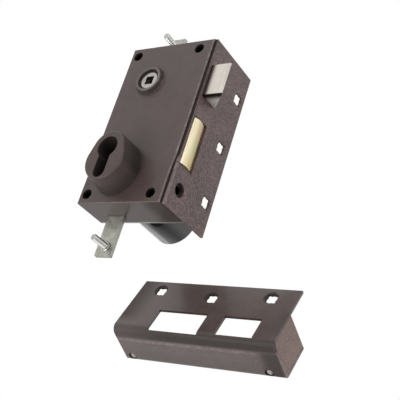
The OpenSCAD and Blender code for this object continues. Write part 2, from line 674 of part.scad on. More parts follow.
module bottom_rod() color([0.74, 0.74, 0.7]) on_door() difference() {
    root = -drive_x - pinion_r - dedendum * pinion_m;
    outline_xz(rod_y, rod_y + rod_t) {
        translate([rod_left + 0.4, low_block_z]) square([root - rod_left - 0.4, drive_z + rod_travel + 2.5 - low_block_z]);
        translate([-drive_x - pinion_r, drive_z]) rotate(-90)
            rack_teeth(pinion_m, -floor(rod_travel / (PI * pinion_m)) - 1, 1);
        translate([rod_left, low_wide_z - 1]) square([low_strip_w, low_block_z + 3 - low_wide_z]);
        translate([rod_left, 1 - bottom_rod_out]) square([rod_w, low_wide_z - 1 + bottom_rod_out]);
        translate([rod_left + 1, -bottom_rod_out]) square([rod_w - 2, low_wide_z - 1 + bottom_rod_out]);
        for (x = [rod_left + 1, rod_right - 1]) translate([x, 1 - bottom_rod_out]) circle(1);
    }
    outline_xz(rod_y - 1, rod_y + rod_t + 1)
        bar2d([low_guide_x(), low_guide_z], [low_guide_x(), low_guide_z + rod_travel], guide_slot_w);
    along_y(stud_x, stud_end - bottom_rod_out, stud_d / 2, rod_y - 1, rod_y + rod_t + 1);
}

function low_guide_x() = (rod_left + 0.4 - drive_x - pinion_r - dedendum * pinion_m) / 2;

module stud(z) {
    along_y(stud_x, z, stud_d / 2, rod_y - stud_len + 0.6, rod_y + rod_t);
    cone_y(stud_x, z, stud_d / 2 - 0.6, stud_d / 2, rod_y - stud_len, rod_y - stud_len + 0.6);
    along_y(stud_x, z, stud_d / 2 + 1.3, rod_y - 1.2, rod_y);
    along_y(stud_x, z, stud_d / 2 + 0.8, rod_y + rod_t, rod_y + rod_t + 0.7);
}

module top_rod_stud() color([0.78, 0.78, 0.75]) on_door() stud(case_h + top_rod_out - stud_end);

module bottom_rod_stud() color([0.78, 0.78, 0.75]) on_door() stud(stud_end - bottom_rod_out);

module rod_guide_posts() color([0.7, 0.7, 0.68]) on_door()
    for (p = [[(rod_left + rod_right) / 2, top_guide_z], [low_guide_x(), low_guide_z]]) {
        along_y(p[0], p[1], guide_r, rod_y - 0.5, floor_y);
        along_y(p[0], p[1], guide_r + 1, rod_y - 1.3, rod_y - rest_gap);
        along_y(p[0], p[1], guide_r + 1, rod_y + rod_t + rest_gap, floor_y);
    }

// Lever that drops into the notches of the deadbolt's tail, drawn lifted clear of them
module retaining_lever() color([0.7, 0.6, 0.36]) on_door() difference() {
    union() {
        outline_xz(catch_y, catch_y + catch_t) {
            bar2d(catch_pivot, [catch_x, catch_z], catch_w);
            translate(catch_pivot) circle(post_r + 1.8);
            translate([catch_x, catch_z]) circle(catch_w / 2 + 0.3);
        }
        along_y(catch_x, catch_z, catch_pin_r, tail_y + 0.2, catch_y + 0.1);
    }
    along_y(catch_pivot[0], catch_pivot[1], post_r + run_fit, catch_y - 1, catch_y + catch_t + 1);
}

module retaining_lever_post() color([0.7, 0.7, 0.68]) on_door() {
    along_y(catch_pivot[0], catch_pivot[1], post_r, catch_y - 0.5, floor_y);
    along_y(catch_pivot[0], catch_pivot[1], post_r + 1.2, catch_y - 1.5, catch_y - rest_gap);
    along_y(catch_pivot[0], catch_pivot[1], post_r + 1.2, catch_y + catch_t + rest_gap, floor_y);
}

module retaining_spring() color([0.55, 0.55, 0.55]) on_door() {
    foot = catch_pivot + [-3.4, 9.5];
    tip = catch_pivot + [11, -11 * 14 / 33] + [1.1, catch_w / 2 + 0.75];
    outline_xz(catch_y + 0.2, catch_y + catch_t - 0.2) bar2d(foot, tip, 0.6);
    along_y(foot[0], foot[1], 1.6, catch_y, floor_y);
}

// Keeper, drawn lying along x with its slotted plate on y = 0, then leaned and placed
module keeper_lies() on_door() translate(keeper_at) rotate([-keeper_lean, keeper_turn[0], keeper_turn[1]]) children();

module folded2d(w, h, near_r, far_r) {
    translate([near_r, 0]) square([w - near_r - far_r, h]);
    translate([0, near_r]) square([w - far_r, h - near_r]);
    translate([near_r, far_r]) square([w - near_r, h - far_r]);
    translate([near_r, near_r]) circle(near_r);
    translate([w - far_r, far_r]) circle(far_r);
}

module along_keeper(x0, x1) translate([x0, 0, 0]) rotate([90, 0, 90]) linear_extrude(height = x1 - x0) children();

module keeper_windows() {
    bolt_mid = bolt_z + bolt_h / 2 - keeper_shift;
    latch_mid = latch_z + latch_h / 2 - keeper_shift;
    block(bolt_mid - bolt_h / 2 - window_side, bolt_mid + bolt_h / 2 + window_side, -1, keeper_bend + 1,
        bolt_window_low, bolt_window_top);
    block(latch_mid - latch_h / 2 - latch_window_sides[0], latch_mid + latch_h / 2 + latch_window_sides[1],
        -1, keeper_bend + 1, latch_window_low, latch_window_top);
}

module keeper_shell() color([0.36, 0.3, 0.29]) keeper_lies() difference() {
    along_keeper(0, keeper_l) {
        difference() {
            folded2d(keeper_d, keeper_h, keeper_bend, keeper_back_bend);
            translate([keeper_t, keeper_t]) folded2d(keeper_d - 2 * keeper_t, keeper_h,
                keeper_bend - keeper_t, keeper_back_bend - keeper_t);
        }
        translate([0, keeper_bend]) square([keeper_t, keeper_plate_h - keeper_bend]);
    }
    keeper_windows();
    for (i = [-1:1]) translate([keeper_l / 2 + i * keeper_hole_pitch, 0,
        keeper_hole_z - (i == 0 ? keeper_hole_dip : 0)]) rotate([90, 0, 0]) star_hole(keeper_t);
    for (x = keeper_rivet_x) translate([x, keeper_d - keeper_rivet_in, -1]) {
        cylinder(r = rivet_recess_r, h = 1 + rivet_recess_t);
        cylinder(r = keeper_rivet_r, h = keeper_t + 2);
    }
}

// A cap fills the end of the box and has a tab under the front sheet, held by a rivet
module end_cap(x_out, x_in, tab_end, rivet_x) difference() {
    union() {
        along_keeper(min(x_out, x_in), max(x_out, x_in)) translate([keeper_t + cap_gap, keeper_t + cap_gap])
            folded2d(keeper_d - 2 * keeper_t - 2 * cap_gap, keeper_h - keeper_t - cap_gap,
                keeper_bend - keeper_t - cap_gap, keeper_back_bend - keeper_t - cap_gap);
        block(min(x_out, tab_end), max(x_out, tab_end), keeper_d / 2, keeper_d - keeper_t - 1,
            keeper_t, keeper_t + 1.5);
    }
    translate([rivet_x, keeper_d - keeper_rivet_in, 0]) cylinder(r = keeper_rivet_r, h = keeper_t + 3);
}

module keeper_latch_end_cap() color([0.42, 0.35, 0.33]) keeper_lies()
    end_cap(keeper_l, keeper_l - keeper_t, keeper_l - cap_tab, keeper_rivet_x[1]);

module keeper_bolt_end_cap() color([0.42, 0.35, 0.33]) keeper_lies()
    end_cap(0, keeper_t, cap_tab, keeper_rivet_x[0]);

module keeper_rivets() color([0.6, 0.59, 0.57]) keeper_lies() for (x = keeper_rivet_x)
    translate([x, keeper_d - keeper_rivet_in, 0]) {
        translate([0, 0, 0.4]) cylinder(r = 2.2, h = rivet_recess_t - 0.4);
        translate([0, 0, 0.4]) cylinder(r = keeper_rivet_r, h = keeper_t + 1.6);
        translate([0, 0, keeper_t + 1.5]) cylinder(r = 2, h = 1);
    }

case_cover();
back_plate();
forend_plate();
mounting_sleeves();
cover_pillars();
back_screws();
cylinder_boss();
boss_screws();
guard_tube();
tube_rivets();
follower_collar();
follower_hub();
follower_spring();
latch_bolt();
latch_tail();
latch_tail_rivets();
latch_spring();
latch_spring_anchor();
deadbolt();
deadbolt_tail();
deadbolt_rivets();
bolt_guide_post();
drive_pinion();
pinion_post();
top_rod();
bottom_rod();
top_rod_stud();
bottom_rod_stud();
rod_guide_posts();
retaining_lever();
retaining_lever_post();
retaining_spring();
keeper_shell();
keeper_latch_end_cap();
keeper_bolt_end_cap();
keeper_rivets();
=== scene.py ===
import math

import bpy
from mathutils import Matrix, Vector


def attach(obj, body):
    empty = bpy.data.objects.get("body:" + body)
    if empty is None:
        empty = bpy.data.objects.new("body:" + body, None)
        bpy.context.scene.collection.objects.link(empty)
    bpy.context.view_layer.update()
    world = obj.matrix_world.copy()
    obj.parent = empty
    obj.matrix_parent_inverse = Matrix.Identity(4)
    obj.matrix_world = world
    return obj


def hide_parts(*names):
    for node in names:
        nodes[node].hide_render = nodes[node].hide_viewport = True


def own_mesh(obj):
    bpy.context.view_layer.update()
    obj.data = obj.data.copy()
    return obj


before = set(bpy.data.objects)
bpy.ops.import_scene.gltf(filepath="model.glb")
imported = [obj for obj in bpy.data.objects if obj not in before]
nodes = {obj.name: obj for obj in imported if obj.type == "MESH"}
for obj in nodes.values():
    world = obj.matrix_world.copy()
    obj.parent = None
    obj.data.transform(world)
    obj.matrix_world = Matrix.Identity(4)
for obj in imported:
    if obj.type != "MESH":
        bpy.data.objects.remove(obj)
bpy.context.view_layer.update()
bpy.ops.object.select_all(action="DESELECT")

# places are in lock millimetres: x from the forend, y from the cover's front, z from the case's bottom
lockOrigin = Vector((-42.75, 30, 69))  # centre of the corner screws on the door face
case = {"left": -78, "right": -2, "deep": 28.5, "tall": 138, "sheet": 1.5}
cylinder = {"x": -48, "z": 34, "lowZ": 14.3, "round": 8.6, "slot": 5.1, "tubeZ": 26}
hub = {"x": -50, "z": 104.5}
latch = {"side": 4.2, "low": 90.35}


def at(x, y, z):
    return (Vector((x, y, z)) - lockOrigin) / 1000


def atX(x):
    return at(x, 0, 0).x


def atY(y):
    return at(0, y, 0).y


def atZ(z):
    return at(0, 0, z).z


class Wire:
    def __init__(self, paint, socket):
        self.paint, self.socket = paint, socket

    def maths(self, kind, other=0.0, flip=False):
        first, second = (other, self) if flip else (self, other)
        return self.paint.add("ShaderNodeMath", {"operation": kind}, {0: first, 1: second})

    def __add__(self, other):
        return self.maths("ADD", other)

    def __radd__(self, other):
        return self.maths("ADD", other, True)

    def __sub__(self, other):
        return self.maths("SUBTRACT", other)

    def __rsub__(self, other):
        return self.maths("SUBTRACT", other, True)

    def __mul__(self, other):
        return self.maths("MULTIPLY", other)

    def __rmul__(self, other):
        return self.maths("MULTIPLY", other, True)

    def step(self, low, high):  # 0 below low, 1 above high, smooth between
        return self.paint.add("ShaderNodeMapRange", {"interpolation_type": "SMOOTHSTEP"},
                              {0: self, 1: low, 2: high, 3: 0.0, 4: 1.0})

    def size(self):
        return self.maths("ABSOLUTE")

    def least(self, other):
        return self.maths("MINIMUM", other)

    def most(self, other):
        return self.maths("MAXIMUM", other)


class Paint:
    def __init__(self, name, metallic=0.0, coat=0.0):
        self.material = bpy.data.materials.new(name)
        self.material.use_nodes = True
        self.tree = self.material.node_tree
        self.shader = self.tree.nodes["Principled BSDF"]
        self.shader.inputs["Metallic"].default_value = metallic
        self.shader.inputs["Coat Weight"].default_value = coat
        self.shader.inputs["Coat Roughness"].default_value = 0.12
        self.place = self.tree.nodes.new("ShaderNodeTexCoord").outputs["Object"]

    def add(self, kind, settings=None, values=None, out=0):
        node = self.tree.nodes.new(kind)
        for key, value in (settings or {}).items():
            if key == "stops":
                ramp = node.color_ramp
                while len(ramp.elements) < len(value):
                    ramp.elements.new(0.5)
                for element, (spot, colour) in zip(ramp.elements, value):
                    element.position, element.color = spot, (*colour, 1)
            else:
                setattr(node, key, value)
        for key, value in (values or {}).items():
            if isinstance(value, Wire):
                self.tree.links.new(value.socket, node.inputs[key])
            elif isinstance(value, bpy.types.NodeSocket):
                self.tree.links.new(value, node.inputs[key])
            else:
                node.inputs[key].default_value = value
        return Wire(self, node.outputs[out])

    def noise(self, scale, detail=3.0, rough=0.55, stretch=(1, 1, 1)):
        spot = self.add("ShaderNodeMapping", {}, {0: self.place, 3: stretch})
        return self.add("ShaderNodeTexNoise", {},
                        {"Vector": spot, "Scale": scale, "Detail": detail, "Roughness": rough})

    def cells(self, scale):
        return self.add("ShaderNodeTexVoronoi", {}, {"Vector": self.place, "Scale": scale}, "Color")

    def axes(self):
        split = self.tree.nodes.new("ShaderNodeSeparateXYZ")
        self.tree.links.new(self.place, split.inputs[0])
        return [Wire(self, o) for o in split.outputs]

    def mix(self, amount, first, second):
        def full(c):
            return (*c, 1) if isinstance(c, tuple) else c
        sockets = {0: amount, 6: full(first), 7: full(second)}
        return self.add("ShaderNodeMix", {"data_type": "RGBA"}, sockets, 2)

    def ramp(self, value, *stops):
        return self.add("ShaderNodeValToRGB", {"stops": stops}, {0: value})

    def feed(self, **sockets):
        names = {"colour": "Base Color", "rough": "Roughness", "metal": "Metallic", "coat": "Coat Weight"}
        for key, value in sockets.items():
            socket = self.shader.inputs[names[key]]
            if isinstance(value, Wire):
                self.tree.links.new(value.socket, socket)
            else:
                socket.default_value = (*value, 1) if isinstance(value, tuple) else value

    def bump(self, height, strength, distance=0.0002):
        wire = self.add("ShaderNodeBump", {}, {"Strength": strength, "Distance": distance, "Height": height})
        self.tree.links.new(wire.socket, self.shader.inputs["Normal"])


def shade(r, g, b):  # a colour as it looks on a screen, 0 to 255
    return tuple((c / 255 / 12.92) if c <= 10 else ((c / 255 + 0.055) / 1.055) ** 2.4 for c in (r, g, b))


def farFrom(a, b):  # distance from the place where both are zero
    return (a * a + b * b).maths("SQRT")


enamelLook = {"base": shade(67, 53, 50), "deep": shade(53, 41, 38), "pale": shade(82, 67, 63), "rough": 0.48,
              "grain": 1500, "blotch": 90, "speckle": 0.35, "coat": 0.18}
lacquerLook = {"base": shade(79, 60, 59), "deep": shade(47, 32, 32), "pale": shade(124, 100, 97),
               "rough": 0.46, "grain": 1150, "blotch": 60, "speckle": 0.85, "coat": 0.12}
# painted shade for coats, then the pale colour of wear and painted highlights, then painted shade for metals
paintedCoatShade, wearAndHighlightColour, paintedMetalShade = shade(24, 15, 10), shade(150, 134, 128), shade(22, 19, 17)


def darkCoat(name, look, edges=None, shadow=None):
    p = Paint(name, coat=look["coat"])
    fine = p.noise(look["grain"], 2.0, 0.6)
    blotch = p.noise(look["blotch"], 3.0, 0.5)
    flecks = p.cells(look["grain"] * 0.75)
    fleck = p.add("ShaderNodeSeparateColor", {}, {0: flecks})
    speckle = look["speckle"]
    tone = (fine - 0.5) * (1.6 * speckle) + (blotch - 0.5) * 0.55 + (fleck - 0.5) * (0.5 * speckle) + 0.5
    colour = p.ramp(tone, (0.12, look["deep"]), (0.5, look["base"]), (0.95, look["pale"]))
    # the edges mask paints wear and painted highlights in the pale colour
    if edges:
        rubbed = p.noise(420, 2.0).step(0.42, 0.68)
        colour = p.mix(edges(p) * (rubbed * 0.6 + 0.4) * 0.55, colour, wearAndHighlightColour)
    rough = (fine - 0.5) * 0.25 + (blotch - 0.5) * 0.12 + look["rough"]
    # the shadow mask paints shade: a darker, rougher colour with the coat taken away
    if shadow:
        dark = shadow(p)
        colour, rough = p.mix(dark, colour, paintedCoatShade), rough + dark * 0.5
        p.feed(coat=(1 - dark) * look["coat"])
    p.feed(colour=colour, rough=rough)
    p.bump(fine * 0.7 + fleck * 0.3, 0.28 * speckle + 0.06, 0.00012)
    return p.material


def nearPlanes(*planes):  # a mask where two of the named planes meet, for wear and painted highlights on the edges
    def mask(p):
        axes = p.axes()
        close = [1 - (axes[axis] - value).size().step(0.0002, 0.0011) for axis, value in planes]
        total = close[0]
        for wire in close[1:]:
            total = total + wire
        return (total - 1.0).step(0.25, 0.95)
    return mask


def brightMetal(name, colours, rough, scale, stretch=(1, 1, 1), depth=0.5, stain=0.2, shadow=None, dull=None):
    p = Paint(name, metallic=1.0)
    lines = p.noise(scale, 3.0, 0.6, stretch)
    cloud = p.noise(140, 2.0)
    tone = (lines - 0.5) * depth + (cloud - 0.5) * stain + 0.5
    colour = p.ramp(tone, *[(spot, shade(*c)) for spot, c in zip((0.1, 0.5, 0.9), colours)])
    # the shadow mask paints shade in a dark colour
    if shadow:
        colour = p.mix(shadow(p), colour, paintedMetalShade)
    if dull:
        p.feed(metal=1 - dull(p))
    p.feed(colour=colour, rough=(lines - 0.5) * 0.3 + (cloud - 0.5) * 0.15 + rough)
    p.bump(lines, 0.12, 0.0001)
    return p.material


turnedSteel = brightMetal("turnedSteel", ((128, 127, 124), (176, 175, 172), (212, 211, 208)), 0.28, 1400,
                          depth=0.4)
springWire = brightMetal("springWire", ((72, 71, 72), (104, 103, 104), (140, 139, 140)), 0.35, 1600)
print("shared finishes made")


def only(piece):
    bpy.ops.object.select_all(action="DESELECT")
    piece.select_set(True)
    bpy.context.view_layer.objects.active = piece


def baked(piece):
    only(piece)
    bpy.ops.object.transform_apply(location=True, rotation=True, scale=True)
    return piece


def boxPiece(name, low, high):  # corners in lock millimetres
    a, b = at(*low), at(*high)
    bpy.ops.mesh.primitive_cube_add(size=1, location=(a + b) / 2)
    piece = bpy.context.object
    piece.name, piece.scale = name, b - a
    return baked(piece)


turnOf = {"x": (0, math.pi / 2, 0), "y": (-math.pi / 2, 0, 0)}


def roundPiece(name, start, axis, length, radius, sides=64):
    bpy.ops.mesh.primitive_cone_add(vertices=sides, radius1=radius / 1000, radius2=radius / 1000,
                                    depth=length / 1000, rotation=turnOf[axis])
    piece = bpy.context.object
    piece.name = name
    half = {"x": (length / 2, 0, 0), "y": (0, length / 2, 0)}[axis]
    piece.location = at(*(Vector(start) + Vector(half)))
    return baked(piece)


def finished(piece, kind, **settings):
    only(piece)
    modifier = piece.modifiers.new(kind.title(), kind)
    for key, value in settings.items():
        setattr(modifier, key, value)
    bpy.ops.object.modifier_apply(modifier=modifier.name)
    return piece


def cut(piece, tools, kind="DIFFERENCE"):
    for tool in tools:
        finished(piece, "BOOLEAN", operation=kind, object=tool, solver="EXACT")
        bpy.data.objects.remove(tool)
    return piece


def soften(piece, width, segments=2, angle=35):
    finished(piece, "BEVEL", width=width / 1000, segments=segments, limit_method="ANGLE",
             angle_limit=math.radians(angle), use_clamp_overlap=True, miter_outer="MITER_ARC")
    only(piece)
    bpy.ops.object.shade_smooth_by_angle(angle=math.radians(38))
    return finished(piece, "WEIGHTED_NORMAL", mode="FACE_AREA", weight=100, keep_sharp=True)


def bevelEdges(piece, chosen, width, segments, **extra):  # chosen takes an edge's two ends
    only(piece)
    bpy.ops.object.mode_set(mode="EDIT")
    bpy.ops.mesh.select_mode(type="EDGE")
    bpy.ops.mesh.select_all(action="DESELECT")
    bpy.ops.object.mode_set(mode="OBJECT")
    for edge in piece.data.edges:
        edge.select = chosen([piece.data.vertices[i].co for i in edge.vertices])
    bpy.ops.object.mode_set(mode="EDIT")
    bpy.ops.mesh.bevel(offset=width / 1000, segments=segments, affect="EDGES", **extra)
    bpy.ops.object.mode_set(mode="OBJECT")


def merged(piece):
    only(piece)
    bpy.ops.object.mode_set(mode="EDIT")
    bpy.ops.mesh.select_all(action="SELECT")
    bpy.ops.mesh.remove_doubles(threshold=0.000001)
    bpy.ops.mesh.dissolve_limited(angle_limit=math.radians(0.5))
    bpy.ops.mesh.normals_make_consistent(inside=False)
    bpy.ops.object.mode_set(mode="OBJECT")
    return piece


def copyOf(node, name):  # a merged copy of a CAD solid, ready for rounding
    piece = nodes[node].copy()
    piece.data = nodes[node].data.copy()
    for key in list(piece.keys()):
        del piece[key]
    piece.parent = None
    bpy.context.scene.collection.objects.link(piece)
    piece.name = name
    piece.hide_render = piece.hide_viewport = False
    return merged(piece)


def joined(name, pieces):
    bpy.ops.object.select_all(action="DESELECT")
    for piece in pieces:
        piece.select_set(True)
    bpy.context.view_layer.objects.active = pieces[0]
    bpy.ops.object.join()
    pieces[0].name = name
    return pieces[0]


def settle(piece, material, body, node):  # node: the CAD solid that it replaces
    piece.data.materials.clear()
    piece.data.materials.append(material)
    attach(piece, body)
    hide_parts(node)
    return piece


def turned(name, profile, centre, axis="y", steps=72):  # profile: (along, radius) pairs, spun about the axis
    bpy.ops.mesh.primitive_plane_add(size=1)
    piece = bpy.context.object
    bpy.ops.object.mode_set(mode="EDIT")
    bpy.ops.mesh.select_all(action="SELECT")
    bpy.ops.mesh.delete(type="VERT")
    bpy.ops.object.mode_set(mode="OBJECT")
    points = [Vector((r, a, 0) if axis == "y" else (r, 0, a)) / 1000 for a, r in profile]
    piece.data.from_pydata(points, [(i, i + 1) for i in range(len(points) - 1)], [])
    spinAxis = {"y": (0, 1, 0), "z": (0, 0, 1)}[axis]
    only(piece)
    bpy.ops.object.mode_set(mode="EDIT")
    bpy.ops.mesh.select_all(action="SELECT")
    bpy.ops.mesh.spin(steps=steps, angle=2 * math.pi, center=(0, 0, 0), axis=spinAxis)
    bpy.ops.mesh.select_all(action="SELECT")
    bpy.ops.mesh.remove_doubles(threshold=0.000002)
    bpy.ops.mesh.normals_make_consistent(inside=False)
    bpy.ops.object.mode_set(mode="OBJECT")
    piece.location = at(*centre)
    piece.name = name
    baked(piece)
    bpy.ops.object.shade_smooth_by_angle(angle=math.radians(38))
    return piece


def threaded(name, start, length, radius, pitch, depth, sides=40):  # a screw thread, from start towards -y
    rows = int(length / pitch * 8)
    bpy.ops.mesh.primitive_grid_add(x_subdivisions=sides, y_subdivisions=rows, size=1)
    piece = bpy.context.object
    piece.name = name
    for vertex in piece.data.vertices:
        turn, along = vertex.co.x + 0.5, (vertex.co.y + 0.5) * length
        wave = (along / pitch + turn) % 1
        fade = min(1, along / pitch, (length - along) / pitch)
        r = radius - depth * abs(2 * wave - 1) * fade - max(0, along - length + 0.6) * 0.8
        angle = turn * 2 * math.pi
        vertex.co = Vector((r * math.cos(angle), -along, r * math.sin(angle))) / 1000
    only(piece)
    bpy.ops.object.mode_set(mode="EDIT")
    bpy.ops.mesh.select_all(action="SELECT")
    bpy.ops.mesh.remove_doubles(threshold=0.000002)
    bpy.ops.mesh.fill_holes(sides=0)
    bpy.ops.mesh.normals_make_consistent(inside=False)
    bpy.ops.object.mode_set(mode="OBJECT")
    piece.location = at(*start)
    baked(piece)
    bpy.ops.object.shade_smooth_by_angle(angle=math.radians(50))
    return piece


def coil(name, start, axis, radius, wire, turns, length, sides=12, steps=28):
    bpy.ops.mesh.primitive_circle_add(vertices=sides, radius=wire / 2000, fill_type="NOTHING",
                                      location=(radius / 1000, 0, 0), rotation=(math.pi / 2, 0, 0))
    piece = baked(bpy.context.object)
    finished(piece, "SCREW", axis="Z", angle=2 * math.pi * turns, screw_offset=(length - wire) / 1000,
             steps=int(steps * turns), render_steps=int(steps * turns), use_normal_calculate=True)
    only(piece)
    bpy.ops.object.mode_set(mode="EDIT")
    bpy.ops.mesh.select_all(action="SELECT")
    bpy.ops.mesh.fill_holes(sides=0)
    bpy.ops.mesh.normals_make_consistent(inside=False)
    bpy.ops.object.mode_set(mode="OBJECT")
    piece.rotation_euler = turnOf[axis]
    piece.location = at(*start)
    piece.name = name
    baked(piece)
    bpy.ops.object.shade_smooth_by_angle(angle=math.radians(60))
    return piece


def profileCutter(front, back):  # keyhole section of the cylinder, from y = front to back
    c = cylinder
    return [roundPiece("cutter", (c["x"], front, c["z"]), "y", back - front, c["round"], sides=96),
            roundPiece("cutter", (c["x"], front, c["lowZ"]), "y", back - front, c["slot"], sides=64),
            boxPiece("cutter", (c["x"] - c["slot"], front, c["lowZ"]), (c["x"] + c["slot"], back, c["z"]))]


cover = {"edge": 0.9, "soft": 0.22, "holeX": (-71.5, -14), "holeZ": (7.5, 130.5), "holeR": 4, "collarR": 9,
         "slotX": (-63.15, -47.45), "slotY": (18.65, 21.85), "paleLineX": -3.9, "seamX": -3.1, "seamTurnZ": 22}
coverEdges = nearPlanes((0, atX(case["left"])), (0, atX(case["right"])), (1, atY(0)),
                        (2, atZ(0)), (2, atZ(case["tall"])))


def seamShift(z):  # the pale line and the seam's painted shade lie nearer to the forend from the deadbolt up
    return (z - atZ(cover["seamTurnZ"])).step(0, 0.02) * 0.001


def coverWearAndHighlight(p):  # pale bends and a pale line beside the seam, from wear and a painted highlight
    x, y, z = p.axes()
    line = 1 - (x - seamShift(z) - atX(cover["paleLineX"])).size().step(0.0004, 0.0011)
    front = 1 - (y - atY(0)).step(0.0004, 0.001)
    low = 1 - (z - atZ(62)).step(0, 0.03)
    return (coverEdges(p) * 0.7).most(line * front * (low * 0.25 + 0.7))


def seamShadow(p):  # painted shade in the seam beside the forend and in the holes' walls, and a painted shadow under the case towards the forend
    x, y, z = p.axes()
    seam = (x - seamShift(z) - atX(cover["seamX"])).step(-0.0002, 0.0003)
    deep = (y - atY(0)).step(0.0002, 0.0006) * (1 - (y - atY(1.6)).step(0, 0.0003))
    walls = (z - atZ(1.7)).step(0, 0.0002) * (1 - (z - atZ(136.3)).step(-0.0002, 0))
    inside = (x - atX(-76.4)).step(0, 0.0002) * walls
    foot = (1 - (z - atZ(0)).step(0.0001, 0.0004)) * (x - atX(-24)).step(0, 0.014) * 0.5
    return (seam + deep * inside * 0.85).least(1.0).most(foot)


caseEnamel = darkCoat("caseEnamel", enamelLook, coverWearAndHighlight, seamShadow)


def caseCover():
    c = cover
    sheet, right, tall = case["sheet"], case["right"], case["tall"]
    shell = boxPiece("caseShell", (case["left"], 0, 0), (right, case["deep"], tall))
    bevelEdges(shell, lambda ends: all(abs(v.y - atY(0)) < 1e-6 for v in ends), c["edge"], 4)
    inside = (case["left"] + sheet, sheet, sheet)
    tools = [boxPiece("cutter", inside, (right + 5, case["deep"] + 5, tall - sheet))]
    for x in c["holeX"]:
        for z in c["holeZ"]:
            tools.append(roundPiece("cutter", (x, -1, z), "y", 4, c["holeR"]))
    tools.append(roundPiece("cutter", (hub["x"], -1, hub["z"]), "y", 4, c["collarR"], sides=72))
    (slotLeft, slotRight), (slotFront, slotBack) = c["slotX"], c["slotY"]
    for z in (-1, tall - sheet - 1):
        tools.append(boxPiece("cutter", (slotLeft, slotFront, z), (slotRight, slotBack, z + sheet + 2)))
    cut(shell, tools + profileCutter(-1, 3))
    soften(shell, c["soft"])
    return settle(shell, caseEnamel, "case", "case_cover")


caseCover()
print("case cover made")

forend = {"thick": 2, "front": 1.3, "reach": 52.5, "soft": 0.3,
          "starY": (44.3, 42, 44.3), "starZ": (24.2, 69, 113.8),
          "round": 4.3, "lobe": 1.1, "lobeAt": 4.5, "dish": 5.85, "dishDeep": 0.3,
          "windows": ((3.85, 19.55, 32.9, 72.65), (3.85, 21.55, 89.65, 116.85)),  # front, back, low, high
          "holeY": 12.4, "holeZ": 16, "holeR": 5.2}
forendEdges = nearPlanes((0, atX(0)), (0, atX(-forend["thick"])), (1, atY(forend["front"])),
                         (1, atY(forend["reach"])), (2, atZ(0)), (2, atZ(case["tall"])))


def forendWearAndHighlight(p):  # edges paler from wear and a painted highlight, most at the lower end of the seam
    x, y, z = p.axes()
    side = 1 - (y - atY(forend["front"])).step(0.0008, 0.0022)
    low = 1 - (z - atZ(40)).step(-0.004, 0.006)
    return (forendEdges(p) * 0.5).most(side * low)


def windowShadow(p):  # painted shade on the narrow strip between the seam and the bolts, and a painted shadow below the deadbolt's window
    x, y, z = p.axes()
    strip = 1 - (y - atY(3.9)).step(-0.0008, 0.0004)
    high = (z - atZ(33)).step(0, 0.006)
    below = (1 - (z - atZ(32.4)).size().step(0.0004, 0.0009)) * (1 - (y - atY(19)).step(0, 0.002))
    edge = 1 - (x - atX(-0.2)).step(-0.0001, 0.0001)
    return (strip * high * (edge * 0.8 + 0.16)).most(below * 0.5)


forendLacquer = darkCoat("forendLacquer", lacquerLook, forendWearAndHighlight, windowShadow)


def starTools(place, thick):  # drawn round the origin, through and dished towards +z, then laid in place
    f, through = forend, (-thick - 1, 1)
    shapes = [(0, 0, f["round"], f["round"], *through, 48)]
    for t in [math.radians(degrees) for degrees in (45, 135, 225, 315)]:
        a, b = f["lobeAt"] * math.cos(t), f["lobeAt"] * math.sin(t)
        shapes.append((a, b, f["lobe"], f["lobe"], *through, 20))
    shapes.append((0, 0, f["round"] + 1, f["dish"] + 0.02, -f["dishDeep"], 0.01, 48))
    tools = []
    for a, b, lowR, highR, low, high, sides in shapes:
        middle = Vector((a, b, (high + low) / 2)) / 1000
        bpy.ops.mesh.primitive_cone_add(vertices=sides, radius1=lowR / 1000, radius2=highR / 1000,
                                        depth=(high - low) / 1000, location=middle)
        tool = baked(bpy.context.object)
        tool.data.transform(place)
        tools.append(tool)
    return tools


def forendPlate():
    f = forend
    plate = boxPiece("forendPlate", (-f["thick"], f["front"], 0), (0, f["reach"], case["tall"]))
    tools = [boxPiece("cutter", (-5, front, low), (3, back, high)) for front, back, low, high in f["windows"]]
    tools.append(roundPiece("cutter", (-5, f["holeY"], f["holeZ"]), "x", 8, f["holeR"]))
    for y, z in zip(f["starY"], f["starZ"]):
        tools += starTools(Matrix.Translation(at(0, y, z)) @ Matrix.Rotation(math.pi / 2, 4, "Y"), f["thick"])
    cut(plate, tools)
    soften(plate, f["soft"])
    return settle(plate, forendLacquer, "case", "forend_plate")


forendPlate()
print("forend made")

boss = {"high": 20, "topR": 13.9, "lowR": 16.8, "baseR": 18.6, "drop": 9.4,
        "round": 1.9, "rimSteps": 6, "soft": 0.4,
        "spread": 0.25, "spreadHigh": 0.8,  # its foot, where it meets the cover
        "baseLean": -1.2, "rimLean": 0.3}  # how far the lower circle lies towards the forend


def bossShadow(p):  # dark inside the opening, and darker towards the cover
    x, y, z = p.axes()
    across, down = (x - atX(cylinder["x"])).size(), z - atZ(cylinder["z"])
    barrel = 1 - (farFrom(across, down) - 0.0089).step(-0.0001, 0.0001)
    slot = (1 - (across - 0.0054).step(-0.0001, 0.0001)) * (1 - down.step(-0.0001, 0.0001))
    low = (z - atZ(8.9)).step(-0.0001, 0.0001)
    wall = (y - atY(-19.9)).step(0.0001, 0.0012)
    foot = (y - atY(-14)).step(-0.004, 0.012)
    turn = (x - atX(cylinder["x"])) * 0.9 + (z - atZ(30)) * 0.75
    upper = (turn - 0.006).step(0.0, 0.007)
    return (barrel.most(slot) * low * wall).most(foot * 0.5 + wall * 0.06 + upper * wall * 0.42).least(1.0)


bossEnamel = darkCoat("bossEnamel", dict(enamelLook, speckle=0.45, rough=0.6, coat=0.08), None, bossShadow)


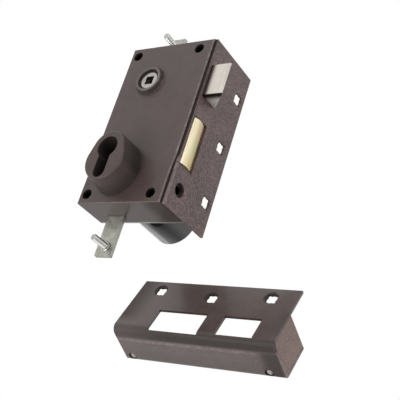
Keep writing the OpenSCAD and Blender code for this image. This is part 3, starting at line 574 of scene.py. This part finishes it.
def cylinderBoss():
    b = boss
    rings = [(0.0, b["topR"] + b["spread"], b["baseR"] + b["spread"], b["baseLean"]),
             (-b["spreadHigh"], b["topR"], b["baseR"], b["baseLean"])]
    for k in range(b["rimSteps"] + 1):  # the rim is a quarter round
        t = math.radians(90 * k / b["rimSteps"])
        pull, y = b["round"] * (1 - math.cos(t)), -b["high"] + b["round"] * (1 - math.sin(t))
        rings.append((y, b["topR"] - pull, b["lowR"] - pull, b["rimLean"]))
    middleX, middleZ = cylinder["x"], cylinder["z"]
    parts = []
    for y, topR, lowR, lean in rings:
        for x, z, r in ((middleX, middleZ, topR), (middleX + lean, middleZ - b["drop"], lowR)):
            bpy.ops.mesh.primitive_circle_add(vertices=96, radius=r / 1000, rotation=turnOf["y"],
                                              location=at(x, y, z))
            parts.append(baked(bpy.context.object))
    body = joined("cylinderBoss", parts)
    bpy.ops.object.mode_set(mode="EDIT")
    bpy.ops.mesh.select_all(action="SELECT")
    bpy.ops.mesh.convex_hull()
    bpy.ops.object.mode_set(mode="OBJECT")
    cut(body, [boxPiece("cutter", (-90, 0, -20), (0, 4, 80))] + profileCutter(-24, 4))
    soften(body, b["soft"], 3, 50)
    return settle(body, bossEnamel, "case", "cylinder_boss")


cylinderBoss()

collar = {"base": 12.5, "top": 10.5, "high": 3.6, "mouth": 9.1, "bore": 7.27, "spigot": 8.9}


def collarShadow(p):  # the gap round the bush, and the outer flank
    x, y, z = p.axes()
    across, up = x - atX(hub["x"]), z - atZ(hub["z"])
    ring = farFrom(across, up)
    right = (across - up * 0.2).step(0.0, 0.007)
    gap = 1 - (ring - 0.0089).step(-0.0003, 0.0003)
    lower = (up * -1 - across * 0.3).step(0.002, 0.008)
    flank = (ring - 0.0108).step(-0.0003, 0.0003) * (1 - (ring - 0.0123).step(-0.0003, 0.0003))
    return gap.most(flank * (right * 0.75).most(lower * 0.6).most(0.12))


def collarHighlight(p):  # painted highlight: the lip is paler on the side towards the forend
    x, y, z = p.axes()
    across, up = x - atX(hub["x"]), z - atZ(hub["z"])
    right = (across - up * 0.5).step(0.001, 0.007)
    return (1 - (farFrom(across, up) - 0.0097).size().step(0.0005, 0.0011)) * (right + 0.2)


collarEnamel = darkCoat("collarEnamel", dict(enamelLook, base=shade(76, 64, 61)), collarHighlight, collarShadow)


def followerCollar():
    c = collar
    lip = -c["high"]
    outline = [(-0.02, c["base"]), (-0.5, c["base"] - 0.15), (lip + 0.5, c["top"] + 0.3),
               (lip + 0.14, c["top"] + 0.12), (lip, c["top"] - 0.25), (lip, c["mouth"] + 0.2),
               (lip + 0.12, c["mouth"] - 0.05), (lip + 1.4, c["bore"] + 0.15), (lip + 1.7, c["bore"]),
               (2.3, c["bore"]), (2.3, 10), (1.5, 10), (1.5, c["spigot"]), (-0.02, c["spigot"]),
               (-0.02, c["base"])]
    ring = turned("followerCollar", outline, (hub["x"], 0, hub["z"]), steps=96)
    return settle(ring, collarEnamel, "case", "follower_collar")


followerCollar()
print("boss and collar made")

tube = {"outer": 19.5, "inner": 17.4, "front": 27, "end": 76.5, "flange": 22.5}
tubeReflectionTones = [(0.0, 120), (0.1, 168), (0.19, 176), (0.215, 60), (0.235, 52), (0.25, 116), (0.268, 50),
             (0.34, 46), (0.4, 84), (0.47, 70), (0.55, 120), (0.62, 190), (0.7, 150), (0.78, 96),
             (0.88, 130), (1.0, 120)]


def tubeChrome():  # painted reflection: bands of light and dark round the tube, as a share of the full turn
    p = Paint("tubeChrome", metallic=1.0)
    x, y, z = p.axes()
    angle = (z - atZ(cylinder["tubeZ"])).maths("ARCTAN2", x - atX(cylinder["x"]))
    around = angle * (1 / (2 * math.pi)) + 0.5
    fine = p.add("ShaderNodeTexNoise", {"noise_dimensions": "1D"},
                 {"W": around * 60.0, "Scale": 1.0, "Detail": 2.0})
    cloud = p.noise(120, 2.0)
    bands = [(spot, shade(tone * 1.01, tone, tone * 0.99)) for spot, tone in tubeReflectionTones]
    colour = p.ramp(around + (cloud - 0.5) * 0.012, *bands)
    rim = (y - atY(tube["end"] - 0.8)).step(0, 0.0003)
    colour = p.mix(rim * 0.7, colour, shade(150, 149, 147))
    p.feed(colour=colour, rough=(fine - 0.5) * 0.08 + 0.16)
    p.bump(fine, 0.04, 0.0002)
    return p.material


def guardTube():
    t = tube
    outline = [(t["front"], t["inner"]), (t["end"] - 0.7, t["inner"]), (t["end"] - 0.15, t["inner"] + 0.35),
               (t["end"], t["inner"] + 0.8), (t["end"], t["outer"] - 0.7), (t["end"] - 0.2, t["outer"] - 0.2),
               (t["end"] - 0.7, t["outer"]), (case["deep"], t["outer"]), (case["deep"], t["flange"]),
               (t["front"], t["flange"]), (t["front"], t["inner"])]
    pipe = turned("guardTube", outline, (cylinder["x"], 0, cylinder["tubeZ"]), steps=128)
    return settle(pipe, tubeChrome(), "case", "guard_tube")


guardTube()

stud = {"x": -54.8, "topZ": 151.7, "lowZ": -24.7,
        "threadStart": 17.9, "threadLong": 13.9, "threadR": 2.5, "pitch": 0.8, "threadDeep": 0.42,
        "collar": [(19, 0), (19, 3.5), (18.75, 3.8), (18.05, 3.8), (17.8, 3.5), (17.8, 2.42), (17.8, 0)],
        "back": [(19, 0), (19, 2.49), (21.5, 2.49), (21.5, 3.2), (21.95, 3.0), (22.2, 2.2), (22.2, 0)]}


def rodStud(name, z, body, node):
    s = stud
    head = turned(name + "Collar", s["collar"], (s["x"], 0, z))
    thread = threaded(name + "Thread", (s["x"], s["threadStart"], z), s["threadLong"], s["threadR"],
                      s["pitch"], s["threadDeep"])
    back = turned(name + "Back", s["back"], (s["x"], 0, z))
    return settle(joined(name, [head, thread, back]), turnedSteel, body, node)


rodStud("topRodStud", stud["topZ"], "top_rod", "top_rod_stud")
rodStud("bottomRodStud", stud["lowZ"], "bottom_rod", "bottom_rod_stud")
print("tube and studs made")

# the keeper's sizes run along its own length, depth and height; its place is in lock millimetres
keeper = {"place": (-68.1, 66.8, -67.4), "turn": (-24, 0.5, 0.6),
          "long": 136, "deep": 33, "high": 30, "plate": 52.5,
          "sheet": 2, "bend": 6, "backBend": 3.4, "soft": 0.3, "cap": 2, "tab": 16,
          "starX": (20.2, 68, 115.8), "starZ": (42.5, 38.5, 42.5),
          "rivetX": (6.6, 124), "rivetY": 28.3, "rivetR": 1.35, "recess": 3.3, "recessDeep": 1.2,
          "windows": ((30.9, 73.7, 2.6, 22.6), (88, 118.2, 4, 22))}  # left, right, low, high
keeperPlace = Matrix.Translation(at(*keeper["place"]))
for degrees, axis in reversed(list(zip(keeper["turn"], "XYZ"))):
    keeperPlace = keeperPlace @ Matrix.Rotation(math.radians(degrees), 4, axis)


def keeperAxes(p):  # the keeper's own length, depth and height, in metres
    back = keeperPlace.inverted()
    x, y, z = p.axes()
    return [x * row[0] + y * row[1] + z * row[2] + row[3] for row in back[:3]]


def keeperWearAndHighlight(p):  # a painted highlight along the fold, and wear round the ends
    along, deep, up = keeperAxes(p)
    outside = 1 - up.step(0.0003, 0.0006)
    middle = 1 - (along - 0.055).size().step(0.04, 0.08) * 0.6
    line = (1 - (deep - 0.0112).size().step(0.0004, 0.0024)) * outside * middle
    wide = (1 - (deep - 0.0145).size().step(0.002, 0.013)) * outside
    ends = 1 - (along - keeper["long"] / 1000).size().step(0.0006, 0.0012)
    worn = ends * (1 - up.step(0.028, 0.031)) * (deep - 0.001).step(0.0, 0.002)
    return (line * 0.9).most(wide * 0.25).most(worn * 0.85)


def keeperShadow(p):  # dark round the rivets and the star holes, along the fold and at the ends
    along, deep, up = keeperAxes(p)
    outside = 1 - up.step(0.0003, 0.0006)
    total = None
    for x in keeper["rivetX"]:
        near = 1 - farFrom(along - x / 1000, deep - keeper["rivetY"] / 1000).step(0.0032, 0.0035)
        total = near if total is None else total.most(near)
    dark = total * up.step(0.0001, 0.0004) * (1 - up.step(0.004, 0.005)) * 0.8
    for x, z in zip(keeper["starX"], keeper["starZ"]):
        near = 1 - farFrom(along - x / 1000 + 0.0013, up - z / 1000 - 0.0013).step(0.0042, 0.0064)
        dark = dark.most(near * (1 - deep.step(0.0016, 0.002)) * 0.8)
    spread = (along - 0.117).step(0.0, 0.011) * outside * (deep - 0.004).step(0.0, 0.008) * 0.65
    bend = (1 - up.step(0.002, 0.006)) * (1 - (deep - 0.0085).step(-0.001, 0.0012))
    fold = bend * (along.step(0.0, 0.05) * 0.3 + 0.4)
    plate = 1 - deep.step(0.001, 0.002)
    left = (1 - along.step(0.0, 0.024)) * plate * up.step(0.006, 0.016) * 0.6
    right = (along - 0.124).step(0.0, 0.01) * plate * (1 - (up - 0.02).size().step(0.008, 0.018)) * 0.35
    return dark.most(spread).most(fold).most(left).most(right)


keeperLook = dict(lacquerLook, base=shade(74, 60, 57), deep=shade(57, 44, 42), pale=shade(92, 76, 73),
                  speckle=0.35, rough=0.38, coat=0.3)
# the end caps' lacquer is painted lighter than the keeper's, standing in for their lit faces
litCapLook = dict(lacquerLook, base=shade(112, 88, 80), deep=shade(84, 64, 58), pale=shade(142, 116, 106),
               speckle=0.7)
rivetLook = dict(enamelLook, base=shade(150, 142, 138), deep=shade(112, 104, 100), pale=shade(184, 176, 172))
keeperLacquer = darkCoat("keeperLacquer", keeperLook, keeperWearAndHighlight, keeperShadow)
litCapLacquer = darkCoat("litCapLacquer", litCapLook)
rivetEnamel = darkCoat("rivetEnamel", rivetLook)


def plainBox(low, high):  # corners in the keeper's own millimetres
    a, b = Vector(low) / 1000, Vector(high) / 1000
    bpy.ops.mesh.primitive_cube_add(size=1, location=(a + b) / 2)
    bpy.context.object.scale = b - a
    return baked(bpy.context.object)


def plainRound(centre, low, high, radius, sides=48):
    middle = Vector((*centre, (low + high) / 2)) / 1000
    bpy.ops.mesh.primitive_cone_add(vertices=sides, radius1=radius / 1000, radius2=radius / 1000,
                                    depth=(high - low) / 1000, location=middle)
    return baked(bpy.context.object)


def keeperShell():
    k = keeper
    # a strip folded from plate to floor to far wall, drawn on its outer face
    section = [(0, k["plate"]), (0, 0), (k["deep"], 0), (k["deep"], k["high"])]
    bpy.ops.mesh.primitive_plane_add(size=1)
    shell = bpy.context.object
    shell.name = "keeperShell"
    points = [Vector((x, y, z)) / 1000 for y, z in section for x in (0, k["long"])]
    shell.data.clear_geometry()
    shell.data.from_pydata(points, [], [(2 * i, 2 * i + 1, 2 * i + 3, 2 * i + 2) for i in range(3)])
    only(shell)
    bpy.ops.object.mode_set(mode="EDIT")
    bpy.ops.mesh.select_all(action="SELECT")
    bpy.ops.mesh.normals_make_consistent(inside=False)
    bpy.ops.object.mode_set(mode="OBJECT")
    for foldY, radius, steps in ((0, k["bend"], 14), (k["deep"], k["backBend"], 8)):
        bevelEdges(shell, lambda ends: all(abs(v.z) < 1e-6 and abs(v.y - foldY / 1000) < 1e-6 for v in ends),
                   radius, steps, clamp_overlap=False)
    floor = min(shell.data.polygons, key=lambda f: f.center.z)
    inward = -1 if floor.normal.z < 0 else 1
    finished(shell, "SOLIDIFY", thickness=k["sheet"] / 1000, offset=inward, use_even_offset=True)
    merged(shell)
    tools = [plainBox((left, -3, low), (right, k["bend"] + 1, high))
             for left, right, low, high in k["windows"]]
    for x, z in zip(k["starX"], k["starZ"]):
        place = Matrix.Translation(Vector((x, 0, z)) / 1000) @ Matrix.Rotation(math.pi / 2, 4, "X")
        tools += starTools(place, k["sheet"])
    for x in k["rivetX"]:
        tools.append(plainRound((x, k["rivetY"]), -1, k["recessDeep"], k["recess"]))
        tools.append(plainRound((x, k["rivetY"]), -1, 4, k["rivetR"]))
    cut(shell, tools)
    soften(shell, k["soft"])
    shell.data.transform(keeperPlace)
    return settle(shell, keeperLacquer, "case", "keeper_shell")


def keeperCap(name, node, outer, inner, tabEnd, rivetX):  # an end plate with a tab riveted to the floor
    k = keeper
    gap = k["sheet"] + 0.3
    plate = plainBox((min(outer, inner), gap, gap), (max(outer, inner), k["deep"] - gap, k["high"]))
    edge = gap / 1000
    bevelEdges(plate, lambda ends: all(abs(v.y - edge) < 1e-6 and abs(v.z - edge) < 1e-6 for v in ends),
               k["bend"] - gap, 10)
    tab = plainBox((min(outer, tabEnd), k["deep"] / 2, 2), (max(outer, tabEnd), k["deep"] - 3, 3.5))
    cut(plate, [tab], "UNION")
    cut(plate, [plainRound((rivetX, k["rivetY"]), 0, 5, k["rivetR"])])
    soften(plate, 0.35, 3)
    plate.name = name
    plate.data.transform(keeperPlace)
    return settle(plate, litCapLacquer, "case", node)


def keeperRivets():
    outline = [(0.35, 0), (0.38, 0.8), (0.55, 1.6), (0.85, 2.1), (1.2, 2.2), (1.2, 1.3), (3.5, 1.3), (3.5, 2),
               (4.2, 1.8), (4.5, 1.1), (4.5, 0)]
    parts = []
    for x in keeper["rivetX"]:
        head = turned("rivet", outline, (0, 0, 0), "z", 40)
        head.data.transform(Matrix.Translation(Vector((x, keeper["rivetY"], 0)) / 1000 - at(0, 0, 0)))
        parts.append(head)
    rivets = joined("keeperRivets", parts)
    rivets.data.transform(keeperPlace)
    return settle(rivets, rivetEnamel, "case", "keeper_rivets")


keeperShell()
boltRivet, latchRivet = keeper["rivetX"]
latchEnd = keeper["long"]
keeperCap("keeperLatchCap", "keeper_latch_end_cap",
          latchEnd, latchEnd - keeper["cap"], latchEnd - keeper["tab"], latchRivet)
keeperCap("keeperBoltCap", "keeper_bolt_end_cap", 0, keeper["cap"], keeper["tab"], boltRivet)
keeperRivets()
print("keeper made")


def holeShadow(p):  # the inner wall behind the forend's round hole
    x, y, z = p.axes()
    near = 1 - farFrom(y - atY(forend["holeY"]), z - atZ(forend["holeZ"])).step(0.0055, 0.0065)
    return near * (x - atX(-5)).step(0, 0.0005) * 0.93


def latchShadow(p):  # dark at the root, and on the underside beside the flat side, paler towards the tip
    x, y, z = p.axes()
    under = 1 - (z - atZ(latch["low"])).step(0.0001, 0.0004)
    deep = (y - atY(latch["side"])).step(0.0015, 0.009)
    root = 1 - (x - atX(0)).step(0.0005, 0.0055)
    return (under * (0.92 - deep * 0.9)).most((1 - under) * root * 0.75)


def latchTip(p):  # the underside's tip is dull
    x, y, z = p.axes()
    under = 1 - (z - atZ(latch["low"])).step(0.0001, 0.0004)
    return under * (y - atY(latch["side"])).step(0.0015, 0.006) * 0.9


def boltPassivate():  # yellow passivation, with green and pink tints, and a painted highlight towards the front side
    p = Paint("boltPassivate", metallic=0.3)
    x, y, z = p.axes()
    across = (y - atY(latch["side"])).step(0.0, 0.015)
    swirl = p.noise(150, 3.0, 0.6, (1, 0.6, 0.25))
    lines = p.noise(900, 2.0, 0.6, (1, 1, 0.03))
    # painted highlight: the ramp is palest near the front side, darker gold towards the back
    gold = p.ramp(across + (swirl - 0.5) * 0.5, (0.0, shade(226, 208, 170)), (0.2, shade(240, 234, 200)),
                  (0.42, shade(224, 216, 168)), (0.7, shade(204, 180, 130)), (1.0, shade(222, 200, 156)))
    high = (z - atZ(60)).step(-0.006, 0.004)
    middle = 1 - (z - atZ(52)).size().step(0.003, 0.007)
    right = across.step(0.35, 0.75)
    gold = p.mix(high * right * 0.7, gold, shade(204, 172, 148))
    gold = p.mix(middle * right * 0.55, gold, shade(182, 190, 142))
    tint = p.ramp(swirl, (0.3, shade(170, 196, 150)), (0.5, shade(222, 204, 146)),
                  (0.7, shade(218, 172, 164)))
    colour = p.mix((swirl - 0.5).size().step(0.05, 0.22) * 0.35, gold, tint)
    p.feed(colour=colour, rough=(lines - 0.5) * 0.2 + 0.42)
    p.bump(lines, 0.12, 0.0001)
    return p.material


nickelTones = (158, 153, 145), (204, 198, 188), (232, 227, 219)
zincTones = (124, 123, 114), (170, 169, 160), (208, 207, 198)
nickelPlate = brightMetal("nickelPlate", nickelTones, 0.34, 900, (1, 1, 0.04),
                          shadow=latchShadow, dull=latchTip)
hubNickel = brightMetal("hubNickel", ((130, 126, 122), (178, 174, 168), (215, 212, 207)), 0.3, 700,
                        (1, 0.1, 1))
zincStrip = brightMetal("zincStrip", zincTones, 0.42, 260, depth=0.7, stain=0.5)
innerZinc = brightMetal("innerZinc", zincTones, 0.42, 260, depth=0.7, stain=0.5, shadow=holeShadow)
# the mounting sleeves are near black as painted shade inside the cover's corner holes
holeShadeSteel = brightMetal("holeShadeSteel", ((14, 13, 12), (26, 24, 23), (44, 41, 39)), 0.5, 1400, depth=0.4)
castZinc = brightMetal("castZinc", ((128, 126, 120), (160, 158, 151), (186, 184, 176)), 0.5, 800, depth=0.8)
stampedBrass = brightMetal("stampedBrass", ((150, 118, 62), (196, 164, 96), (226, 200, 140)), 0.32, 600,
                           (0.1, 1, 1))
passivate = boltPassivate()

rounded = {  # CAD node: name, finish, slot, body, rounding of its edges
    "back_plate": ("backPlate", innerZinc, "zinc_sheet", "case", 0.2),
    "latch_bolt": ("latchBolt", nickelPlate, "nickel", "latch", 0.35),
    "deadbolt": ("deadboltHead", passivate, "yellow_zinc", "deadbolt", 0.35),
    "follower_hub": ("followerHub", hubNickel, "nickel", "follower", 0.25),
    "latch_tail": ("latchTail", zincStrip, "zinc_sheet", "latch", 0.2),
    "deadbolt_tail": ("deadboltTail", zincStrip, "zinc_sheet", "deadbolt", 0.1),
    "top_rod": ("topRod", zincStrip, "zinc_sheet", "top_rod", 0.12),
    "bottom_rod": ("bottomRod", zincStrip, "zinc_sheet", "bottom_rod", 0.12),
    "retaining_lever": ("retainingLever", stampedBrass, "brass_sheet", "lever", 0.2),
    "drive_pinion": ("drivePinion", castZinc, "cast_zinc", "pinion", 0.08),
    "mounting_sleeves": ("mountingSleeves", holeShadeSteel, "zinc_sheet", "case", 0.2),
    "cover_pillars": ("coverPillars", turnedSteel, "zinc_sheet", "case", 0.2),
    "back_screws": ("backScrews", turnedSteel, "screw_steel", "case", 0.12),
    "boss_screws": ("bossScrews", turnedSteel, "screw_steel", "case", 0.15),
    "tube_rivets": ("tubeRivets", turnedSteel, "screw_steel", "case", 0.15),
    "latch_tail_rivets": ("latchTailRivets", turnedSteel, "screw_steel", "latch", 0.15),
    "deadbolt_rivets": ("deadboltRivets", turnedSteel, "screw_steel", "deadbolt", 0.15),
    "latch_spring_anchor": ("latchSpringAnchor", zincStrip, "zinc_sheet", "case", 0.2),
    "bolt_guide_post": ("boltGuidePost", turnedSteel, "screw_steel", "case", 0.2),
    "pinion_post": ("pinionPost", turnedSteel, "screw_steel", "case", 0.2),
    "rod_guide_posts": ("rodGuidePosts", turnedSteel, "screw_steel", "case", 0.15),
    "retaining_lever_post": ("retainingLeverPost", turnedSteel, "screw_steel", "case", 0.2),
    "retaining_spring": ("retainingSpring", springWire, "spring_steel", "case", 0.1),
}
for node, (name, material, slotName, body, width) in rounded.items():
    piece = copyOf(node, name)
    soften(piece, width)
    settle(piece, material, body, node)
print("inner pieces made")

followerCoil = {"start": (hub["x"], 4.6 + 0.45, hub["z"]), "radius": 9.4, "wire": 0.9,
                "turns": 2, "long": 3.2}
latchCoil = {"foot": (-50.1, 15.5, 93), "start": (-50.1 + 0.4, 15.5, 93), "radius": 2.0, "wire": 0.8,
             "turns": 11, "long": 28, "pressed": 0.44}  # pressed: share of its length with the latch in


def spring(name, s, axis, node):
    wound = coil(name, s["start"], axis, s["radius"], s["wire"], s["turns"], s["long"])
    return settle(wound, springWire, "case", node)


spring("followerSpring", followerCoil, "y", "follower_spring")
latchSpring = spring("latchSpring", latchCoil, "x", "latch_spring")
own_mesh(latchSpring)
print("springs made")


view = {"place": at(361.148, -409.786, -237.729), "right": (0.819543, 0.504268, 0.272147),
        "down": (-0.015226, 0.493933, -0.869367), "forward": (-0.572816, 0.708339, 0.412477), "lens": 80.057}
camera = bpy.data.objects.new("camera", bpy.data.cameras.new("camera"))
bpy.context.scene.collection.objects.link(camera)
rightWay, upWay, backWay = Vector(view["right"]), -Vector(view["down"]), -Vector(view["forward"])
rows = [[rightWay[i], upWay[i], backWay[i], view["place"][i]] for i in range(3)]
camera.matrix_world = Matrix(rows + [[0, 0, 0, 1]])
camera.data.sensor_width, camera.data.lens = 36, view["lens"]
camera.data.clip_start, camera.data.clip_end = 0.01, 50
bpy.context.scene.camera = camera

lamps = {"key": {"from": (-0.35, -1.0, -0.8), "power": 10.0, "size": 0.9},
         "side": {"from": (1.2, -0.35, 0.35), "power": 6.0, "size": 0.6},
         "rear": {"from": (-0.8, 1.0, 0.8), "power": 6.0, "size": 0.9},
         "top": {"from": (-0.3, -0.6, 1.2), "power": 3.0, "size": 0.9}}
for name, lamp in lamps.items():
    data = bpy.data.lights.new(name, "AREA")
    data.energy, data.size = lamp["power"], lamp["size"]
    light = bpy.data.objects.new(name, data)
    bpy.context.scene.collection.objects.link(light)
    light.location = lamp["from"]
    light.rotation_euler = (-Vector(lamp["from"])).to_track_quat("-Z", "Y").to_euler()

bpy.ops.mesh.primitive_plane_add(size=14, location=(0, 0, -1.2))
floorPlane = bpy.context.object
floorPlane.name = "floor"
floorPaint = Paint("paleFloor")
floorPaint.feed(colour=(0.86, 0.86, 0.86), rough=0.85)
cameraRay = floorPaint.add("ShaderNodeLightPath", {}, {}, "Is Camera Ray")
glossyRay = floorPaint.add("ShaderNodeLightPath", {}, {}, "Is Glossy Ray")
clearRay = floorPaint.add("ShaderNodeLightPath", {}, {}, "Is Transmission Ray")
seen = cameraRay.most(glossyRay).most(clearRay)
white = floorPaint.add("ShaderNodeEmission", {}, {"Color": (1, 1, 1, 1), "Strength": 1.0})
shaders = {0: seen * 0.85, 1: floorPaint.shader.outputs[0], 2: white}
shownMix = floorPaint.add("ShaderNodeMixShader", {}, shaders)
outSocket = [n for n in floorPaint.tree.nodes if n.type == "OUTPUT_MATERIAL"][0].inputs["Surface"]
floorPaint.tree.links.new(shownMix.socket, outSocket)
floorPlane.data.materials.append(floorPaint.material)

world = bpy.data.worlds.new("studio")
bpy.context.scene.world = world
world.use_nodes = True
tree = world.node_tree
background = tree.nodes["Background"]
plain = tree.nodes.new("ShaderNodeBackground")
for node, colour, strength in ((background, (0.95, 0.96, 1.0, 1), 0.5), (plain, (1, 1, 1, 1), 1.0)):
    node.inputs["Color"].default_value, node.inputs["Strength"].default_value = colour, strength
path = tree.nodes.new("ShaderNodeLightPath")
either = [tree.nodes.new("ShaderNodeMath") for _ in range(2)]
either[0].operation = either[1].operation = "MAXIMUM"
tree.links.new(path.outputs["Is Camera Ray"], either[0].inputs[0])
tree.links.new(path.outputs["Is Transmission Ray"], either[0].inputs[1])
tree.links.new(either[0].outputs[0], either[1].inputs[0])
tree.links.new(path.outputs["Is Glossy Ray"], either[1].inputs[1])
swap = tree.nodes.new("ShaderNodeMixShader")
tree.links.new(either[1].outputs[0], swap.inputs[0])
tree.links.new(background.outputs[0], swap.inputs[1])
tree.links.new(plain.outputs[0], swap.inputs[2])
tree.links.new(swap.outputs[0], tree.nodes["World Output"].inputs["Surface"])
bpy.context.scene.view_settings.view_transform = "Standard"
print("stage made")

bpy.ops.object.select_all(action="DESELECT")
